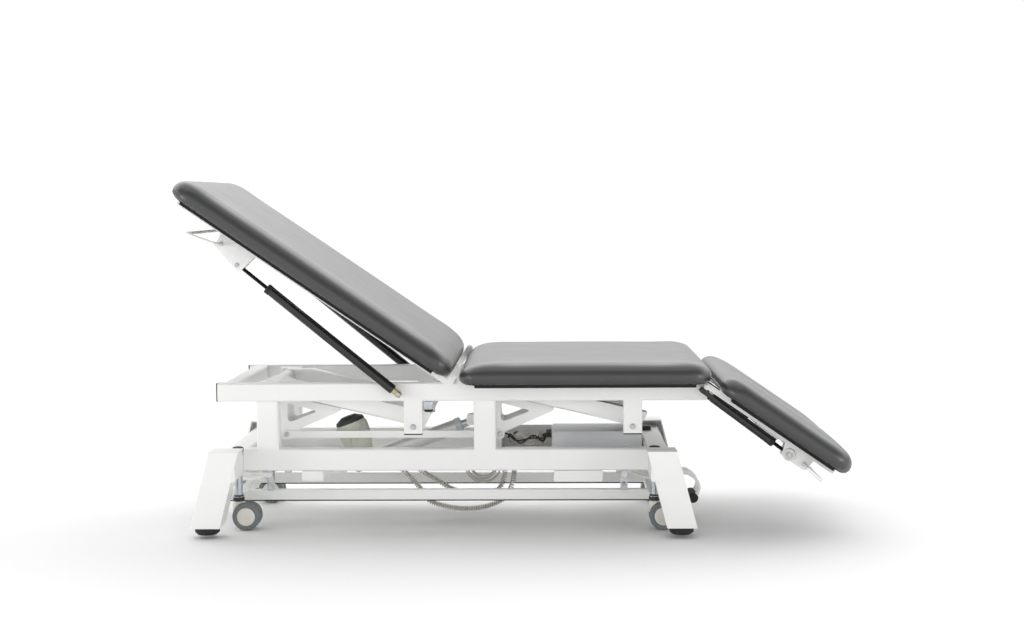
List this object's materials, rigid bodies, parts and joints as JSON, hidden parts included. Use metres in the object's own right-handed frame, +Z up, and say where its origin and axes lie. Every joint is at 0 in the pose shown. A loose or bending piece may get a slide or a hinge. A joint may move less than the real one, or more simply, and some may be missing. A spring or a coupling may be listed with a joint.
{
  "type": "treatment table",
  "caption": "Electric three-section treatment table: parallelogram lift, gas-sprung back and head sections, face hole, base on glides with a retractable castor frame.",
  "frame": {"origin": "on the floor, under the middle of the table's box", "axes": "+X towards the head section, +Y away from the viewer, +Z up"},
  "size_m": [1.7836, 0.7, 0.9447],
  "materials": {
    "white": "satin",
    "vinyl": "satin",
    "zinc": "satin",
    "black": "satin",
    "motor": "matte",
    "rubber": "matte",
    "tyre": "matte",
    "control": "matte",
    "cord": "matte"
  },
  "bodies": {
    "base": {"end_frame_left": "white", "end_frame_right": "white", "glide_near_left": "rubber", "glide_far_left": "rubber", "glide_near_right": "rubber", "glide_far_right": "rubber", "base_rail_near": "white", "base_rail_far": "white", "drive_member": "white", "control_member": "white", "control_box": "control", "cable_tray": "white", "hanger_link_near_left": "zinc", "hanger_link_near_right": "zinc", "hanger_link_far_left": "zinc", "hanger_link_far_right": "zinc", "curled_cord_low": "cord", "curled_cord_high": "cord", "spare_cable": "cord"},
    "arms_left": {"lift_arm_near_left": "white", "lift_arm_far_left": "white", "crank_left": "white"},
    "arms_right": {"lift_arm_near_right": "white", "lift_arm_far_right": "white", "crank_right": "white"},
    "tie_bar": {"tie_bar": "white"},
    "actuator_housing": {"actuator_housing": "motor"},
    "actuator_rod": {"actuator_rod": "zinc"},
    "upper_frame": {"upper_rail_near": "white", "upper_rail_far": "white", "cross_tube_foot": "white", "cross_tube_hinge": "white", "cross_tube_head": "white", "seat_cushion": "vinyl"},
    "back_section": {"back_frame": "white", "back_cushion": "vinyl"},
    "back_release": {"back_release_bar": "white"},
    "head_section": {"head_frame": "white", "head_cushion": "vinyl"},
    "head_release": {"head_release_bar": "white"},
    "castor_frame": {"castor_frame": "white"},
    "pedal_left": {"pedal_left": "white"},
    "pedal_right": {"pedal_right": "white"},
    "back_spring_cylinder_near": {"back_spring_cylinder_near": "black"},
    "back_spring_rod_near": {"back_spring_rod_near": "zinc"},
    "head_spring_cylinder_near": {"head_spring_cylinder_near": "black"},
    "head_spring_rod_near": {"head_spring_rod_near": "zinc"},
    "castor_fork_near_left": {"castor_fork_near_left": "white"},
    "castor_wheels_near_left": {"castor_wheels_near_left": "tyre"},
    "castor_fork_near_right": {"castor_fork_near_right": "white"},
    "castor_wheels_near_right": {"castor_wheels_near_right": "tyre"},
    "back_spring_cylinder_far": {"back_spring_cylinder_far": "black"},
    "back_spring_rod_far": {"back_spring_rod_far": "zinc"},
    "head_spring_cylinder_far": {"head_spring_cylinder_far": "black"},
    "head_spring_rod_far": {"head_spring_rod_far": "zinc"},
    "castor_fork_far_left": {"castor_fork_far_left": "white"},
    "castor_wheels_far_left": {"castor_wheels_far_left": "tyre"},
    "castor_fork_far_right": {"castor_fork_far_right": "white"},
    "castor_wheels_far_right": {"castor_wheels_far_right": "tyre"}
  },
  "joints": [
    {"name": "lift", "type": "hinge", "parent": "base", "child": "arms_left", "pos_m": [-0.66437, 0, 0.38], "axis": [0, -1, 0], "range_deg": [0, 60]},
    {"name": "lift_right", "type": "hinge", "parent": "base", "child": "arms_right", "pos_m": [-0.07837, 0, 0.38], "axis": [0, -1, 0], "range_deg": [0, 60]},
    {"name": "frame_level", "type": "hinge", "parent": "arms_left", "child": "upper_frame", "pos_m": [-0.26887, 0, 0.285], "axis": [0, -1, 0], "range_deg": [-60, 0]},
    {"name": "tie_level", "type": "hinge", "parent": "arms_left", "child": "tie_bar", "pos_m": [-0.62637, -0.1355, 0.25], "axis": [0, -1, 0], "range_deg": [-60, 0]},
    {"name": "actuator_swing", "type": "hinge", "parent": "base", "child": "actuator_housing", "pos_m": [-0.47937, -0.07, 0.146], "axis": [0, -1, 0], "range_deg": [0, 1]},
    {"name": "actuator_extend", "type": "slide", "parent": "actuator_housing", "child": "actuator_rod", "axis": [0.9389, 0, 0.3442], "range_m": [0, 0.0865]},
    {"name": "back_tilt", "type": "hinge", "parent": "upper_frame", "child": "back_section", "pos_m": [-0.14197, 0, 0.448], "axis": [0, 1, 0], "range_deg": [-34.36, 33.64]},
    {"name": "head_tilt", "type": "hinge", "parent": "upper_frame", "child": "head_section", "pos_m": [0.51163, 0, 0.395], "axis": [0, -1, 0], "range_deg": [-25.5, 34.5]},
    {"name": "back_release", "type": "hinge", "parent": "back_section", "child": "back_release", "pos_m": [-0.76758, 0, 0.77748], "axis": [0, 1, 0], "range_deg": [0, 12], "stiffness_Nm_per_rad": 20, "springref_deg": -2.86},
    {"name": "head_release", "type": "hinge", "parent": "head_section", "child": "head_release", "pos_m": [0.76653, 0, 0.18802], "axis": [0, -1, 0], "range_deg": [0, 12], "stiffness_Nm_per_rad": 20, "springref_deg": -2.86},
    {"name": "castor_lift", "type": "slide", "parent": "base", "child": "castor_frame", "axis": [0, 0, 1], "range_m": [0, 0.012]},
    {"name": "pedal_left_turn", "type": "hinge", "parent": "base", "child": "pedal_left", "pos_m": [-0.66987, 0, 0.145], "axis": [0, 1, 0], "range_deg": [0, 12.1]},
    {"name": "pedal_right_turn", "type": "hinge", "parent": "base", "child": "pedal_right", "pos_m": [0.29813, 0, 0.145], "axis": [0, -1, 0], "range_deg": [0, 12.1]},
    {"name": "back_spring_swing_near", "type": "hinge", "parent": "upper_frame", "child": "back_spring_cylinder_near", "pos_m": [-0.30637, -0.263, 0.376], "axis": [0, 1, 0], "range_deg": [-39.8, 39]},
    {"name": "back_spring_extend_near", "type": "slide", "parent": "back_spring_cylinder_near", "child": "back_spring_rod_near", "axis": [-0.7724, 0, 0.6352], "range_m": [-0.0845, 0.0826]},
    {"name": "head_spring_swing_near", "type": "hinge", "parent": "upper_frame", "child": "head_spring_cylinder_near", "pos_m": [0.50063, -0.263, 0.383], "axis": [0, -1, 0], "range_deg": [-25.3, 34.2]},
    {"name": "head_spring_extend_near", "type": "slide", "parent": "head_spring_cylinder_near", "child": "head_spring_rod_near", "axis": [0.8008, 0, -0.5989], "range_m": [-0.007, 0.0094]},
    {"name": "castor_swivel_near_left", "type": "hinge", "parent": "castor_frame", "child": "castor_fork_near_left", "pos_m": [-0.74987, -0.196, 0.077], "axis": [0, 0, 1], "continuous": true},
    {"name": "castor_roll_near_left", "type": "hinge", "parent": "castor_fork_near_left", "child": "castor_wheels_near_left", "pos_m": [-0.72687, -0.196, 0.0375], "axis": [0, 1, 0], "continuous": true},
    {"name": "castor_swivel_near_right", "type": "hinge", "parent": "castor_frame", "child": "castor_fork_near_right", "pos_m": [0.37813, -0.196, 0.077], "axis": [0, 0, 1], "continuous": true},
    {"name": "castor_roll_near_right", "type": "hinge", "parent": "castor_fork_near_right", "child": "castor_wheels_near_right", "pos_m": [0.40113, -0.196, 0.0375], "axis": [0, 1, 0], "continuous": true},
    {"name": "back_spring_swing_far", "type": "hinge", "parent": "upper_frame", "child": "back_spring_cylinder_far", "pos_m": [-0.30637, 0.263, 0.376], "axis": [0, 1, 0], "range_deg": [-39.8, 39]},
    {"name": "back_spring_extend_far", "type": "slide", "parent": "back_spring_cylinder_far", "child": "back_spring_rod_far", "axis": [-0.7724, 0, 0.6352], "range_m": [-0.0845, 0.0826]},
    {"name": "head_spring_swing_far", "type": "hinge", "parent": "upper_frame", "child": "head_spring_cylinder_far", "pos_m": [0.50063, 0.263, 0.383], "axis": [0, -1, 0], "range_deg": [-25.3, 34.2]},
    {"name": "head_spring_extend_far", "type": "slide", "parent": "head_spring_cylinder_far", "child": "head_spring_rod_far", "axis": [0.8008, 0, -0.5989], "range_m": [-0.007, 0.0094]},
    {"name": "castor_swivel_far_left", "type": "hinge", "parent": "castor_frame", "child": "castor_fork_far_left", "pos_m": [-0.74987, 0.196, 0.077], "axis": [0, 0, 1], "continuous": true},
    {"name": "castor_roll_far_left", "type": "hinge", "parent": "castor_fork_far_left", "child": "castor_wheels_far_left", "pos_m": [-0.72687, 0.196, 0.0375], "axis": [0, 1, 0], "continuous": true},
    {"name": "castor_swivel_far_right", "type": "hinge", "parent": "castor_frame", "child": "castor_fork_far_right", "pos_m": [0.37813, 0.196, 0.077], "axis": [0, 0, 1], "continuous": true},
    {"name": "castor_roll_far_right", "type": "hinge", "parent": "castor_fork_far_right", "child": "castor_wheels_far_right", "pos_m": [0.40113, 0.196, 0.0375], "axis": [0, 1, 0], "continuous": true}
  ],
  "couplings": [
    {"joint": "lift_right", "follows": "lift", "ratio": 1},
    {"joint": "frame_level", "follows": "lift", "ratio": -1},
    {"joint": "tie_level", "follows": "lift", "ratio": -1},
    {"joint": "actuator_swing", "follows": "lift", "ratio": 0.0128},
    {"joint": "actuator_extend", "follows": "lift", "m_per_rad": 0.08206},
    {"joint": "pedal_left_turn", "follows": "castor_lift", "rad_per_m": 17.453},
    {"joint": "pedal_right_turn", "follows": "castor_lift", "rad_per_m": 17.453},
    {"joint": "back_spring_swing_near", "follows": "back_tilt", "ratio": 1.155},
    {"joint": "back_spring_extend_near", "follows": "back_tilt", "m_per_rad": 0.14038},
    {"joint": "head_spring_swing_near", "follows": "head_tilt", "ratio": 0.99},
    {"joint": "head_spring_extend_near", "follows": "head_tilt", "m_per_rad": 0.01537},
    {"joint": "back_spring_swing_far", "follows": "back_tilt", "ratio": 1.155},
    {"joint": "back_spring_extend_far", "follows": "back_tilt", "m_per_rad": 0.14038},
    {"joint": "head_spring_swing_far", "follows": "head_tilt", "ratio": 0.99},
    {"joint": "head_spring_extend_far", "follows": "head_tilt", "m_per_rad": 0.01537}
  ]
}
